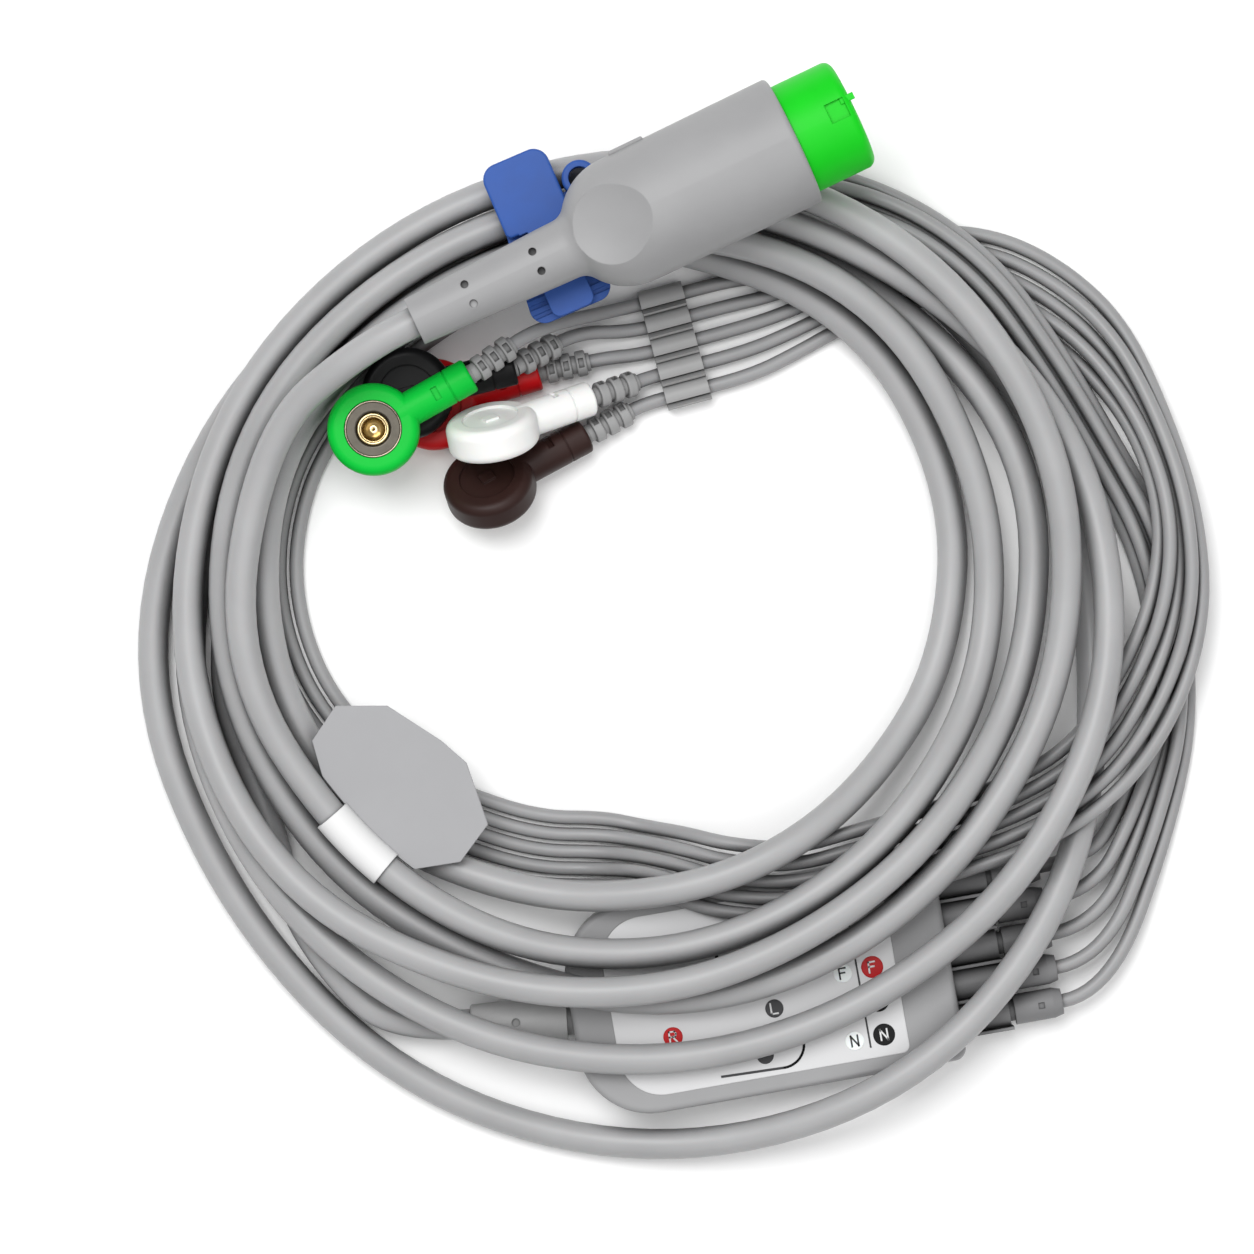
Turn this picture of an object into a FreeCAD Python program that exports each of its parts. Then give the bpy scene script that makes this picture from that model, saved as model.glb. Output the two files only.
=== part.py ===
import FreeCAD, Part
import math
import os

from FreeCAD import Placement, Rotation, Vector

# Patient cable set: a coiled trunk cable from a round monitor plug to a flat yoke,
# and five leads from the yoke to five press-stud snaps. Millimetres, +Z up,
# origin on the floor at the middle of the coil.

# Cords
trunk_d = 5.0
lead_d = 2.3
turn_step = 30.0
curve_share = math.cos(math.radians(turn_step / 2))

# Coil of the trunk: a flat ring on the leads, wider towards the middle from one direction to another
coil_low = 13.8
coil_high = 18.6
coil_ring_r = 75.0
coil_ring_wide = 9.0
coil_outer_r = coil_ring_r + coil_ring_wide
coil_inner_r = 46.0
coil_from = 262.0
coil_to = 95.0
coil_enter_r = 53.0
coil_leave_r = 71.0
coil_straight = 9.0

# Monitor plug, measured from the free end of its neck
plug_x = -39.4
plug_y = 54.2
plug_z = 29.8
plug_turn = 25.6
neck_r_end = 3.95
neck_r_root = 4.9
neck_len = 24.0
bulb_x = 37.7
body_r = 10.6
body_r_front = 10.85
body_front_x = 67.3
insert_r = 9.2
insert_front_x = 77.7
insert_round = 1.5
cup_wall = 1.3
cup_depth = 7.5
thumb_r = 6.5
thumb_x = 35.3
thumb_z = 8.1
thumb_tilt = 20.6
thumb_bowl_r = 20.0
pin_count = 12
pin_circle_r = 5.2
pin_r = 0.6
pin_back_x = 52.0
pin_short = 2.0
pin_tip = 0.25
insert_back_x = 56.0
shell_back_x = 46.0
front_step = 0.6
hollow_back_x = 30.0
hollow_r = 4.0
body_edge = 0.8
neck_flare = 0.3
neck_blend = 3.0
vent_x = (9.8, 21.8)
vent_y = 1.7
vent_r = 0.65
vent_floor = 2.4
vent_filled_floor = 3.6
grip_x0 = 39.5
grip_x1 = 45.5
grip_half = 2.2
grip_proud = 0.45
grip_edge = 0.4
notch_x0 = 73.4
notch_x1 = 76.6
notch_y0 = -0.9
notch_y1 = 2.3
notch_deep = 0.9
catch_x0 = 76.0
catch_proud = 0.7
catch_y0 = 1.3
catch_y1 = 2.4
catch_low = 1.4
catch_high = 0.6
key_half = 0.9
key_short = 1.5
key_deep = 1.0
key_root = 0.4

# Yoke, measured from the middle of its underside
yoke_x = 16.4
yoke_y = -53.3
yoke_turn = 10.0
yoke_len = 62.6
yoke_wide = 35.0
yoke_high = 9.5
yoke_split = 4.6
yoke_wall = 1.6
yoke_round_left = 12.0
yoke_round_right = 2.0
yoke_edge = 1.0
label_left = 6.5
label_side = 2.8
label_right = 9.0
label_thick = 0.3
boot_len = 16.6
boot_r_root = 4.0
boot_r_end = 3.2
boot_bend = -6.6
boot_neck_r = 2.8
boot_flange_r = 3.1
boot_flange_gap = 0.7
axis_z = 4.75
label_round_left = 7.0
label_round_right = 1.2
boot_step = 0.8
boot_flange = 1.2
boot_edge = 0.5
boot_mark_r = 0.7
boot_mark_floor = 3.0
block_low = 1.6
block_high = 7.9
block_side = 3.2
board_drop = 1.0
board_thick = 1.2
board_x0 = -22.0
board_gap = 0.4
board_half = 12.5
stand_x = (-17.0, 14.0)
stand_y = 9.5
stand_r = 1.8
stand_pin_r = 1.0
stand_pin_proud = 0.6
resistor_x0 = -6.0
resistor_x1 = 2.0
resistor_r = 1.0
resistor_pitch = 4.4
resistor_edge = 0.3

# Lead plugs in the yoke
plug_pitch = 5.6
lead_plug_r = 2.5
lead_plug_len = 17.0
lead_nose_r = 1.8
lead_nose_len = 8.0
block_deep = 11.0
rib_thick = 0.5
rib_len = 8.5
rib_short = 0.6
lead_pin_r = 0.55
lead_socket_r = 1.0
socket_behind = 2.0
pin_room = 0.2
groove_share = 0.48
groove_wide = 0.9
groove_deep = 0.7
lead_plug_taper = 1.5
lead_plug_shrink = 0.4
window_at = 13.0
window_wide = 1.0
window_deep = 0.4

# Snaps, measured from the middle of the head
head_r = 7.5
head_high = 5.6
head_round = 1.5
stem_r = 2.9
stem_len = 18.0
collar_r = 4.7
socket_r = 2.65
stud_r = 2.0
pocket_deep = 3.4
boot_ribbed_len = 8.6
boot_ribbed_r = 2.15
spigot_r = 1.9
spigot_len = 5.0

# Comb that keeps the leads apart
comb_x = 2.4
comb_y = 51.7
comb_turn = 15.0
comb_pitch = 4.0
comb_long = 7.4
comb_wire_z = 1.9
comb_wall = 0.6
comb_slit = 0.5
comb_fit = 0.3

# Blue cable clip under the plug, placed along and beside the plug's neck by the middle of its pin
clip_along = 24.71
clip_beside = 3.89
clip_under = 3.65
clip_turn = 113.3
clip_floor = -2.25
clip_base_thick = 1.0
clip_pin_r = 0.5
clip_knuckle_r = 0.95
clip_ear_r = 1.1
clip_ear_y = 3.9
clip_ear_thick = 1.1
clip_half = 5.6
clip_waist = 3.6
clip_tab = 13.8
clip_jaw = 13.0
clip_jaw_half = 7.2
clip_lever_low = 0.2
clip_lever_thick = 1.2
clip_fit = 0.3
spring_wire = 0.35
spring_r = 0.8
spring_turns = 1
spring_leg = 1.2

# Tag on the trunk
tag_turn_index = 3
tag_thick = 0.9
tag_z = 12.4
tag_fit = 0.3
wrap_wall = 0.6
wrap_before = 3.2
wrap_after = 9.2

colours = ["brown", "white", "red", "black", "green"]


def rounded_share(radius):
    """Control radius that gives a curve of this radius with the turn step."""
    return radius / curve_share


def polar(angle, radius, z):
    a = math.radians(angle)
    return Vector(radius * math.cos(a), radius * math.sin(a), z)


def frame_at(place, turn, pitch=0.0, roll=0.0):
    """Local frame: turned about Z, then pitched up about its Y, then rolled about its X."""
    spin = Rotation(Vector(0, 0, 1), turn)
    spin = spin.multiply(Rotation(Vector(0, 1, 0), -pitch))
    spin = spin.multiply(Rotation(Vector(1, 0, 0), roll))
    return Placement(place, spin)


def put(shape, frame):
    return shape.transformed(frame.toMatrix(), True)


def arc(a, corner, b):
    """Arc from a to b whose end tangents meet in the corner, with its radius."""
    middle = (a + b) * 0.5
    half_chord = (b - a).Length / 2
    rise = (corner - middle).Length
    if rise < 1e-4 * half_chord:
        return Part.LineSegment(a, b).toShape(), 1e6
    bulge = half_chord * math.tan(math.atan2(rise, half_chord) / 2)
    edge = Part.Arc(a, middle + (corner - middle) * (bulge / rise), b).toShape()
    return edge, edge.Curve.Radius


def biarc(a, corner, b):
    """Two arcs from a to b, leaving and arriving along the legs to the corner."""
    t0 = (corner - a).normalize()
    t1 = (b - corner).normalize()
    v = b - a
    bend = 2 * (1 - t0.dot(t1))
    if bend < 1e-5:
        return [Part.LineSegment(a, b).toShape()], 1e6
    along = v.dot(t0 + t1)
    d = (-along + math.sqrt(along * along + bend * v.dot(v))) / bend
    q0 = a + t0 * d
    q1 = b - t1 * d
    joint = (q0 + q1) * 0.5
    first, first_r = arc(a, q0, joint)
    second, second_r = arc(joint, q1, b)
    return [first, second], min(first_r, second_r)


def cord_path(points):
    """Smooth path of lines and arcs through the middles of a control polygon."""
    pieces = []
    tightest = 1e6
    start = (points[0] + points[1]) * 0.5
    pieces.append(Part.LineSegment(points[0], start).toShape())
    for i in range(1, len(points) - 1):
        end = (points[i] + points[i + 1]) * 0.5
        arcs, radius = biarc(start, points[i], end)
        pieces.extend(arcs)
        tightest = min(tightest, radius)
        start = end
    pieces.append(Part.LineSegment(start, points[-1]).toShape())
    return pieces, tightest


def cord(points, diameter):
    """Round tube along a control polygon, and the sampled points of its middle line."""
    pieces, tightest = cord_path(points)
    wire = Part.Wire(pieces)
    ahead = (points[1] - points[0]).normalize()
    ring = Part.Wire(Part.Circle(points[0], ahead, diameter / 2).toShape())
    shell = Part.BRepOffsetAPI.MakePipeShell(wire)
    shell.add(ring)
    shell.build()
    shell.makeSolid()
    solid = shell.shape()
    line = wire.discretize(Distance=1.0)
    ideal = math.pi * diameter * diameter / 4 * wire.Length
    print("cord length %.0f, tightest bend %.1f, volume over section %.4f, valid %s"
          % (wire.Length, tightest, solid.Volume / ideal, solid.isValid()))
    return solid, line


def least_gap(line, diameter):
    """Smallest gap between stretches of one cord that lie more than five diameters apart along it."""
    points = [(p.x, p.y, p.z) for p in line]
    apart = int(5 * diameter)
    least = 1e9
    for i in range(len(points) - apart):
        x, y, z = points[i]
        for j in range(i + apart, len(points)):
            dx = points[j][0] - x
            if -8 < dx < 8:
                away = dx * dx + (points[j][1] - y) ** 2 + (points[j][2] - z) ** 2
                least = min(least, away)
    return math.sqrt(least) - diameter


def save(name, shape):
    shape.exportStep("parts/" + name + ".step")


os.makedirs("parts", exist_ok=True)

plug_exit = Vector(plug_x, plug_y, plug_z)
plug_frame = frame_at(plug_exit, plug_turn)
plug_back = plug_frame.Rotation.multVec(Vector(-1, 0, 0))
yoke_frame = frame_at(Vector(yoke_x, yoke_y, 0), yoke_turn)
boot_root = yoke_frame.multVec(Vector(-yoke_len / 2, 0, axis_z))
boot_frame = frame_at(boot_root, yoke_turn + 180 + boot_bend)
boot_exit = boot_frame.multVec(Vector(boot_len, 0, 0))
boot_out = boot_frame.Rotation.multVec(Vector(1, 0, 0))


def round_coil(angle):
    """Direction in which the cable runs round the coil."""
    return polar(angle + 90, 1.0, 0.0)


# Trunk cable: its coil, and the free runs from the plug into the coil and from the coil to the yoke.
# Directions, radii and heights of the places the runs pass.
coil_base = Vector(0, 0, coil_low)
coil_high_by = coil_high - coil_low
coil_z = coil_low + coil_high_by / 2
coil_open = Part.makeCylinder(coil_ring_r, coil_high_by, coil_base, Vector(0, 0, 1), coil_from - coil_to)
coil_open.rotate(Vector(0, 0, 0), Vector(0, 0, 1), coil_to)
coil = Part.makeCylinder(coil_outer_r, coil_high_by, coil_base)
coil = coil.cut(Part.makeCylinder(coil_inner_r, coil_high_by, coil_base)).cut(coil_open)
save("trunk_cable", coil)

coil_enter = polar(coil_from, coil_enter_r, coil_z)
plug_run_points = [plug_exit, plug_exit + plug_back * 9.0]
for angle, radius, z in ((150, 71.5, 18.5), (180, 68.0, 15.8), (210, 57.5, 12.8), (240, 51.5, 14.2)):
    plug_run_points.append(polar(angle, rounded_share(radius), z))
plug_run_points.append(coil_enter - round_coil(coil_from) * coil_straight)
plug_run_points.append(coil_enter)
save("trunk_plug_run", cord(plug_run_points, trunk_d)[0])

coil_leave = polar(coil_to, coil_leave_r, coil_z)
yoke_run_points = [coil_leave, coil_leave + round_coil(coil_to) * coil_straight]
for angle, radius, z in ((120, 71.2, 10.7), (150, 71.4, 5.2), (180, 71.0, 5.3)):
    yoke_run_points.append(polar(angle, rounded_share(radius), z))
yoke_run_points.append(Vector(-65.2, -23.2, 3.6))
yoke_run_points.append(Vector(-60.5, -40.5, 3.4))
yoke_run_points.append(Vector(-53.2, -51.6, axis_z))
yoke_run_points.append(boot_exit + boot_out * 12.8)
yoke_run_points.append(boot_exit)
save("trunk_yoke_run", cord(yoke_run_points, trunk_d)[0])

comb_frame = frame_at(Vector(comb_x, comb_y, 0), comb_turn)


def before_comb(lane, back, run, turn, pitch):
    """Boot end from which a lead runs straight to its lane, so far back from the comb's middle."""
    corner = comb_frame.multVec(Vector(-back, lane * comb_pitch, comb_wire_z))
    return frame_at(corner, turn, pitch).multVec(Vector(-run, 0, 0))


# Snaps: end of the ribbed boot, turn and pitch of the boot, turn, pitch and roll of the stem.
# A roll of 0 shows the socket from above.
snap_poses = {
    "brown": (before_comb(-2, 7.4, 2.4, 28.5, -9.5), 28.5, -9.5, 28.5, -9.5, 141.0),
    "white": (before_comb(-1, 4.8, 3.0, 20.0, -20.5), 20.0, -20.5, 20.0, -20.5, 115.0),
    "red": (Vector(-11.5, 49.0, 3.0), 12.0, 0.0, 17.0, 0.0, 180.0),
    "black": (Vector(-16.7, 51.9, 6.2), 30.0, -20.0, 14.0, 0.0, 180.0),
    "green": (Vector(-24.0, 51.3, 13.8), 36.0, -10.0, 29.6, 0.0, 0.0),
}


def snap_frames(colour):
    """Frames of the boot, at its root, and of the head, at its middle."""
    end, boot_turn, boot_pitch, turn, pitch, roll = snap_poses[colour]
    ahead = frame_at(end, boot_turn, boot_pitch).Rotation.multVec(Vector(1, 0, 0))
    root = end - ahead * boot_ribbed_len
    stem = frame_at(root, turn, pitch, roll)
    middle = stem.multVec(Vector(-stem_len, 0, 0))
    return frame_at(root, boot_turn, boot_pitch, roll), frame_at(middle, turn, pitch, roll)


# Lead bundle: direction, radius, height, pitch between leads and lean of each place it passes.
# Leads closer than their own width lie in two layers.
side = lead_d + 0.5
bundle = [
    (341, 84.0, 1.3, 2.2, 0.0),
    (355, 85.5, 1.2, 1.4, 0.0),
    (12, 84.0, 1.2, 1.4, 0.0),
    (28, 80.0, 2.0, 1.4, 0.0),
    (38, 80.2, 4.1, 1.4, 0.0),
    (50, 82.8, 4.3, 1.4, 0.0),
    (62, 83.2, 4.4, 1.4, 0.0),
    (74, 80.5, 1.8, 2.2, 0.0),
    (86, 76.0, 1.2, side, 0.0),
    (100, 72.5, 1.2, side, 0.0),
    (116, 71.0, 1.2, side, 0.0),
    (132, 71.0, 1.2, side, 0.0),
    (148, 71.2, 1.2, side, 0.0),
    (162, 69.0, 1.2, side, 0.0),
    (175, 65.2, 1.2, side, 0.0),
    (189, 59.5, 1.2, side, 0.0),
    (204, 51.5, 1.2, side, 0.0),
    (220, 43.0, 1.2, side, 0.0),
    (237, 37.5, 1.2, side, 0.0),
    (253, 33.0, 1.2, side, 0.0),
    (264, 32.3, 5.4, 2.4, 2.0),
    (275, 33.5, 9.5, 2.6, 1.0),
    (286, 37.0, 11.1, side, 0.0),
    (301, 42.5, 11.0, side, 0.0),
    (315, 47.0, 10.95, side, 0.0),
    (327, 54.5, 10.75, side, 0.2),
    (337, 64.5, 10.3, side, 1.0),
    (346, 73.5, 10.5, side, 0.0),
    (356, 80.0, 7.8, side, 0.0),
    (6, 85.5, 6.9, 2.2, 0.0),
    (16, 88.5, 6.5, 1.4, 0.0),
    (26, 89.5, 3.4, 1.4, 0.0),
    (36, 89.5, 1.2, 2.4, 0.0),
    (44, 87.0, 1.2, side, 0.0),
    (51, 83.5, 1.2, side, 0.0),
    (58, 76.5, 1.2, side, 0.0),
    (65, 67.5, 1.2, side, 0.0),
    (73, 60.0, 1.3, 3.2, 0.0),
]
bundle_middle = [polar(angle, radius, height) for angle, radius, height, pitch, lean in bundle]


def bundle_point(k, lane):
    """Control point of one lead at one place of the bundle; positive lanes lie outside."""
    angle, radius, height, pitch, lean = bundle[k]
    before = bundle_middle[max(k - 1, 0)]
    after = bundle_middle[min(k + 1, len(bundle) - 1)]
    ahead = after - before
    outward = Vector(ahead.y, -ahead.x, 0).normalize()
    lift = math.sqrt(max(side ** 2 - pitch ** 2 - lean ** 2, 0))
    raised = lift if lane % 2 else 0.0
    return bundle_middle[k] + outward * (lane * pitch) + Vector(0, 0, lane * lean + raised)


def lead_points(lane, colour):
    """Control points of one lead from its plug past the comb to its snap."""
    plug_end = Vector(yoke_len / 2 + lead_plug_len, -lane * plug_pitch, axis_z)
    points = [yoke_frame.multVec(plug_end), yoke_frame.multVec(plug_end + Vector(8, 0, 0))]
    for k in range(len(bundle)):
        points.append(bundle_point(k, lane))
    for x in comb_stations[colour]:
        points.append(comb_frame.multVec(Vector(x, lane * comb_pitch, comb_wire_z)))
    end, boot_turn, boot_pitch, turn, pitch, roll = snap_poses[colour]
    boot = frame_at(end, boot_turn, boot_pitch)
    points.append(boot.multVec(Vector(end_runs[colour], 0, 0)))
    points.append(end)
    return points


# Where each lead is held straight along the comb, and how far it runs straight into its boot
comb_stations = {
    "brown": (11.0, 1.0),
    "white": (11.0, 1.0),
    "red": (11.0, 1.0, -6.0),
    "black": (11.0, 1.0, -6.5),
    "green": (11.0, 1.0, -6.5),
}
end_runs = {"brown": 2.4, "white": 3.0, "red": 3.0, "black": 4.0, "green": 5.0}

for n, colour in enumerate(colours):
    lead, lead_line = cord(lead_points(n - 2, colour), lead_d)
    print("%s lead least gap to itself %.2f" % (colour, least_gap(lead_line, lead_d)))
    save("lead_wire_" + colour, lead)


def turned(corners):
    """Solid of revolution about the local X axis from corners of length and radius."""
    outline = [Vector(x, 0, r) for x, r in corners]
    outline.append(outline[0])
    return Part.Face(Part.makePolygon(outline)).revolve(Vector(0, 0, 0), Vector(1, 0, 0), 360)


def rod(x0, x1, radius, y=0.0, z=0.0):
    return Part.makeCylinder(radius, x1 - x0, Vector(x0, y, z), Vector(1, 0, 0))


def post(z0, z1, radius, x=0.0, y=0.0):
    return Part.makeCylinder(radius, z1 - z0, Vector(x, y, z0))


def block(x0, x1, y0, y1, z0, z1):
    return Part.makeBox(x1 - x0, y1 - y0, z1 - z0, Vector(x0, y0, z0))


def plate(corners, z0, z1):
    """Flat plate from plan corners, each with its own rounding radius."""
    outline = []
    for x, y, r in corners:
        outline.append((Vector(x, y, z0), r))
    edges = []
    starts = []
    ends = []
    count = len(outline)
    for i in range(count):
        corner, r = outline[i]
        before = (outline[i - 1][0] - corner).normalize()
        after = (outline[(i + 1) % count][0] - corner).normalize()
        half = before.getAngle(after) / 2
        run = r / math.tan(half)
        starts.append(corner + before * run)
        ends.append(corner + after * run)
        if r > 0:
            inward = (before + after).normalize()
            tip = corner + inward * (r / math.sin(half) - r)
            edges.append(Part.Arc(starts[i], tip, ends[i]).toShape())
        if i > 0:
            edges.append(Part.LineSegment(ends[i - 1], starts[i]).toShape())
    edges.append(Part.LineSegment(ends[-1], starts[0]).toShape())
    face = Part.Face(Part.Wire(Part.__sortEdges__(edges)))
    return face.extrude(Vector(0, 0, z1 - z0))


def edges_where(shape, test):
    return [edge for edge in shape.Edges if test(edge.BoundBox)]


def flat_at(z):
    """Test for edges that lie at one height."""
    return lambda box: abs(box.ZMin - z) < 1e-4 and abs(box.ZMax - z) < 1e-4


# Monitor plug: soft body with neck, green front shell, pin block and pins
front_ring_r = insert_r - front_step
ball = Part.makeSphere(body_r, Vector(bulb_x, 0, 0))
barrel = turned([(bulb_x, 0), (bulb_x, body_r), (body_front_x, body_r_front), (body_front_x, 0)])
barrel = barrel.makeFillet(body_edge, edges_where(barrel, lambda b: abs(b.XMin - body_front_x) < 1e-4
                                            and b.ZLength > 1 and b.XLength < 1e-4))
neck = turned([(0, 0), (0, neck_r_end), (neck_len, neck_r_root), (bulb_x, neck_r_root + neck_flare),
               (bulb_x, 0)])
over = ball.fuse(barrel).fuse(neck).removeSplitter()
root_x = bulb_x - body_r
over = over.makeFillet(neck_blend, edges_where(over, lambda b: root_x < b.XMin and b.XMax < root_x + 3
                                               and b.ZLength > 6))
thumb_out = Rotation(Vector(0, 1, 0), -thumb_tilt).multVec(Vector(0, 0, 1))
bowl_away = math.sqrt(thumb_bowl_r ** 2 - thumb_r ** 2)
bowl_middle = Vector(thumb_x, 0, thumb_z) + thumb_out * bowl_away
over = over.cut(Part.makeSphere(thumb_bowl_r, bowl_middle))
for hole_x in vent_x:
    for hole_y in (-vent_y, vent_y):
        filled = hole_x == vent_x[0] and hole_y < 0
        floor = vent_filled_floor if filled else vent_floor
        over = over.cut(post(floor, body_r, vent_r, hole_x, hole_y))
grip = block(grip_x0, grip_x1, body_r - 1.5, body_r + grip_proud, -grip_half, grip_half)
over = over.fuse(grip.makeFillet(grip_edge, edges_where(grip, lambda b: b.YMin > body_r)))
over = over.cut(rod(shell_back_x, body_front_x + 1, front_ring_r))
over = over.cut(rod(hollow_back_x, shell_back_x + 1, hollow_r))
save("plug_overmould", put(over, plug_frame))

bore_r = front_ring_r - cup_wall
shell = turned([(shell_back_x, bore_r), (shell_back_x, front_ring_r), (body_front_x, front_ring_r),
                (body_front_x, insert_r), (insert_front_x, insert_r), (insert_front_x, bore_r)])
shell = shell.makeFillet(insert_round, edges_where(shell, lambda b: abs(b.XMin - insert_front_x) < 1e-4
                                          and b.ZLength > 2 * insert_r - 0.1))
shell = shell.cut(block(notch_x0, notch_x1, notch_y0, notch_y1, insert_r - notch_deep, insert_r + 1))
shell = shell.fuse(block(catch_x0, insert_front_x + catch_proud, catch_y0, catch_y1,
                         insert_r - catch_low, insert_r - catch_high))
key = block(insert_front_x - cup_depth, insert_front_x - key_short, -key_half, key_half,
            bore_r - key_deep, bore_r + key_root)
shell = shell.fuse(key)
save("plug_shell", put(shell, plug_frame))

pin_tip_x = insert_front_x - pin_short
insert = rod(insert_back_x, insert_front_x - cup_depth, bore_r)
pins = []
for k in range(pin_count):
    a = 2 * math.pi * k / pin_count
    pin_y = pin_circle_r * math.cos(a)
    pin_z = pin_circle_r * math.sin(a)
    insert = insert.cut(rod(insert_back_x - 1, insert_front_x, pin_r, pin_y, pin_z))
    pin = rod(pin_back_x, pin_tip_x, pin_r, pin_y, pin_z)
    pins.append(pin.makeChamfer(pin_tip, edges_where(pin, lambda b: b.XMin > pin_tip_x - 0.1)))
save("pin_insert", put(insert, plug_frame))
save("contact_pins", put(Part.makeCompound(pins), plug_frame))

# Yoke: two shells round a board and a socket block, a label and a cable boot
half_len = yoke_len / 2
half_wide = yoke_wide / 2


def yoke_plan(inset, z0, z1):
    left = yoke_round_left - inset
    right = max(yoke_round_right - inset, 0.6)
    x = half_len - inset
    y = half_wide - inset
    return plate([(-x, -y, left), (x, -y, right), (x, y, right), (-x, y, left)], z0, z1)


block_x0 = half_len - block_deep
block_half = 2 * plug_pitch + block_side
hollow_top = yoke_high - yoke_wall
outer = yoke_plan(0, 0, yoke_high)
outer = outer.makeFillet(yoke_edge, edges_where(outer, flat_at(yoke_high)))
outer = outer.makeFillet(yoke_edge / 2, edges_where(outer, flat_at(0)))
outer = outer.cut(yoke_plan(yoke_wall, yoke_wall, hollow_top))
outer = outer.cut(block(block_x0, half_len + 1, -block_half, block_half, block_low, block_high))
boot_tilt = Placement(Vector(-half_len, 0, axis_z), Rotation(Vector(0, 0, 1), 180 + boot_bend))
flange_x = -yoke_wall - boot_flange_gap
boot_body = turned([(flange_x - boot_flange, 0), (flange_x - boot_flange, boot_flange_r),
                    (flange_x, boot_flange_r), (flange_x, boot_neck_r), (boot_step, boot_neck_r),
                    (boot_step, boot_r_root), (boot_len, boot_r_end), (boot_len, 0)])
boot_body = boot_body.makeFillet(boot_edge, edges_where(boot_body, lambda b: b.XMin > boot_len - 0.01
                                                  and b.ZLength > 6))
boot_body = boot_body.cut(post(boot_mark_floor, 6, boot_mark_r, boot_len * 0.55))
outer = outer.cut(put(rod(flange_x, 4, boot_neck_r), boot_tilt))
label_x0 = -half_len + label_left
label_x1 = half_len - label_right
label_y = half_wide - label_side
label = plate([(label_x0, -label_y, label_round_left), (label_x1, -label_y, label_round_right),
               (label_x1, label_y, label_round_right), (label_x0, label_y, label_round_left)],
              yoke_high - label_thick, yoke_high)
outer = outer.cut(label)
low_half = block(-yoke_len, yoke_len, -yoke_wide, yoke_wide, -1, yoke_split)
save("yoke_lower_shell", put(outer.common(low_half), yoke_frame))
save("yoke_upper_shell", put(outer.cut(low_half), yoke_frame))
save("yoke_label", put(label, yoke_frame))
save("yoke_boot", put(put(boot_body, boot_tilt), yoke_frame))

socket_block = block(block_x0, half_len, -block_half, block_half, block_low, block_high)
for k in range(6):
    rib_y = (k - 2.5) * plug_pitch
    rib = block(half_len, half_len + rib_len, rib_y - rib_thick / 2, rib_y + rib_thick / 2,
                block_low, block_high - rib_short)
    socket_block = socket_block.fuse(rib)
sockets = []
pins = []
for lane in range(-2, 3):
    y = -lane * plug_pitch
    socket_block = socket_block.cut(rod(half_len - lead_nose_len, half_len + 1, lead_nose_r, y, axis_z))
    socket_block = socket_block.cut(rod(block_x0 - 1, half_len - lead_nose_len + 1, lead_socket_r, y, axis_z))
    tube = rod(block_x0 - socket_behind, half_len - lead_nose_len, lead_socket_r, y, axis_z)
    sockets.append(tube.cut(rod(block_x0, half_len, lead_pin_r, y, axis_z)))
    pins.append(rod(block_x0 + pin_room, half_len - lead_nose_len, lead_pin_r, y, axis_z))
save("socket_block", put(socket_block.removeSplitter(), yoke_frame))
save("yoke_sockets", put(Part.makeCompound(sockets), yoke_frame))
save("lead_pins", put(Part.makeCompound(pins), yoke_frame))

board_z = axis_z - board_drop
board_low = board_z - board_thick
board = block(board_x0, block_x0 - board_gap, -board_half, board_half, board_low, board_z)
for post_x in stand_x:
    for post_y in (-stand_y, stand_y):
        board = board.cut(post(board_low - 1, board_z + 1, stand_pin_r, post_x, post_y))
save("yoke_board", put(board, yoke_frame))
stand = []
for post_x in stand_x:
    for post_y in (-stand_y, stand_y):
        leg = post(yoke_wall, board_low, stand_r, post_x, post_y)
        stand.append(leg.fuse(post(yoke_wall, board_z + stand_pin_proud, stand_pin_r, post_x, post_y)))
save("board_posts", put(Part.makeCompound(stand), yoke_frame))
resistors = []
for lane in range(-2, 3):
    y = -lane * resistor_pitch
    body = rod(resistor_x0, resistor_x1, resistor_r, y, board_z + resistor_r)
    resistors.append(body.makeFillet(resistor_edge, body.Edges[:1] + body.Edges[2:]))
save("yoke_resistors", put(Part.makeCompound(resistors), yoke_frame))

# Lead plugs, one for each lead
for n, colour in enumerate(colours):
    y = -(n - 2) * plug_pitch
    x0 = half_len
    groove = x0 + lead_plug_len * groove_share
    end = x0 + lead_plug_len
    plug = turned([(x0 - lead_nose_len, 0), (x0 - lead_nose_len, lead_nose_r), (x0, lead_nose_r),
                   (x0, lead_plug_r), (groove, lead_plug_r), (groove, lead_plug_r - groove_deep),
                   (groove + groove_wide, lead_plug_r - groove_deep), (groove + groove_wide, lead_plug_r),
                   (end - lead_plug_taper, lead_plug_r), (end, lead_plug_r - lead_plug_shrink), (end, 0)])
    plug = plug.cut(block(x0 + window_at, x0 + window_at + window_wide, -window_wide / 2, window_wide / 2,
                          lead_plug_r - window_deep, lead_plug_r + 1))
    plug.translate(Vector(0, y, axis_z))
    save("lead_plug_" + colour, put(plug, yoke_frame))

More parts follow.
